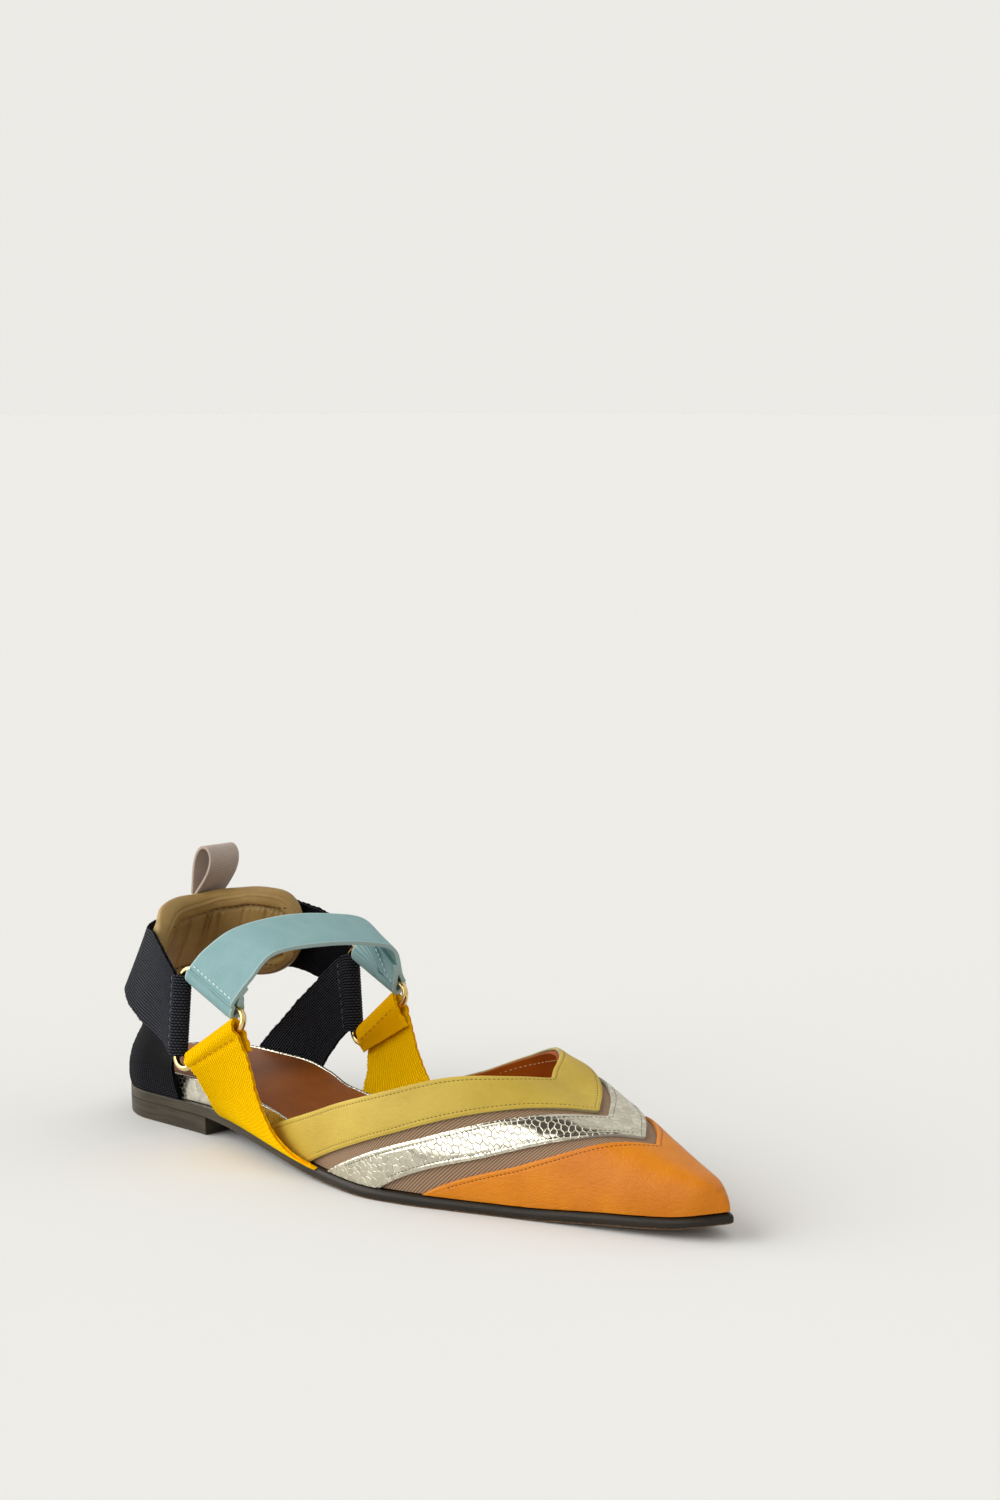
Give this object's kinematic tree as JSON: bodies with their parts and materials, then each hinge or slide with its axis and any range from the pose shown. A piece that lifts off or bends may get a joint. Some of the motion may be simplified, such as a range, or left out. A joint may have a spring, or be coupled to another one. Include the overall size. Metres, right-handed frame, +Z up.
{
  "type": "slingback flat",
  "caption": "Right-foot pointed slingback flat: chevron leather and mesh upper, webbing and elastic straps joined by two gold triangle rings, low heel.",
  "frame": {"origin": "middle of the shoe's box on the floor", "axes": "+X from heel to toe, +Y towards the inner side of the right foot, +Z up from the floor"},
  "size_m": [0.265, 0.0794, 0.0924],
  "materials": {
    "sole_leather": "dark dyed sole leather with a polished edge",
    "heel_leather": "dark taupe, matte",
    "silver_leather": "silver foil, snake embossed, glossy",
    "sock_leather": "tan brown, satin",
    "mesh": "mauve-brown fine mesh, matte",
    "orange_leather": "smooth orange, satin",
    "yellow_leather": "pale yellow, satin",
    "navy_webbing": "ribbed navy webbing, matte",
    "yellow_webbing": "ribbed yellow webbing, matte",
    "blue_elastic": "pale blue ribbed elastic, matte",
    "gold_metal": "polished pale gold wire",
    "pad_leather": "soft beige-olive leather, satin",
    "loop_ribbon": "mauve-grey grosgrain"
  },
  "bodies": {
    "root": {"outsole": "sole_leather", "heel": "heel_leather", "footbed": "silver_leather", "sock_lining": "sock_leather", "vamp": "mesh", "toe_panel": "orange_leather", "silver_band": "silver_leather", "topline_band": "yellow_leather", "heel_strap": "navy_webbing", "forefoot_strap_lateral": "yellow_webbing", "forefoot_strap_medial": "yellow_webbing", "instep_strap": "blue_elastic", "ring_lateral": "gold_metal", "ring_medial": "gold_metal", "heel_pad": "pad_leather", "pull_loop": "loop_ribbon"}
  },
  "joints": []
}
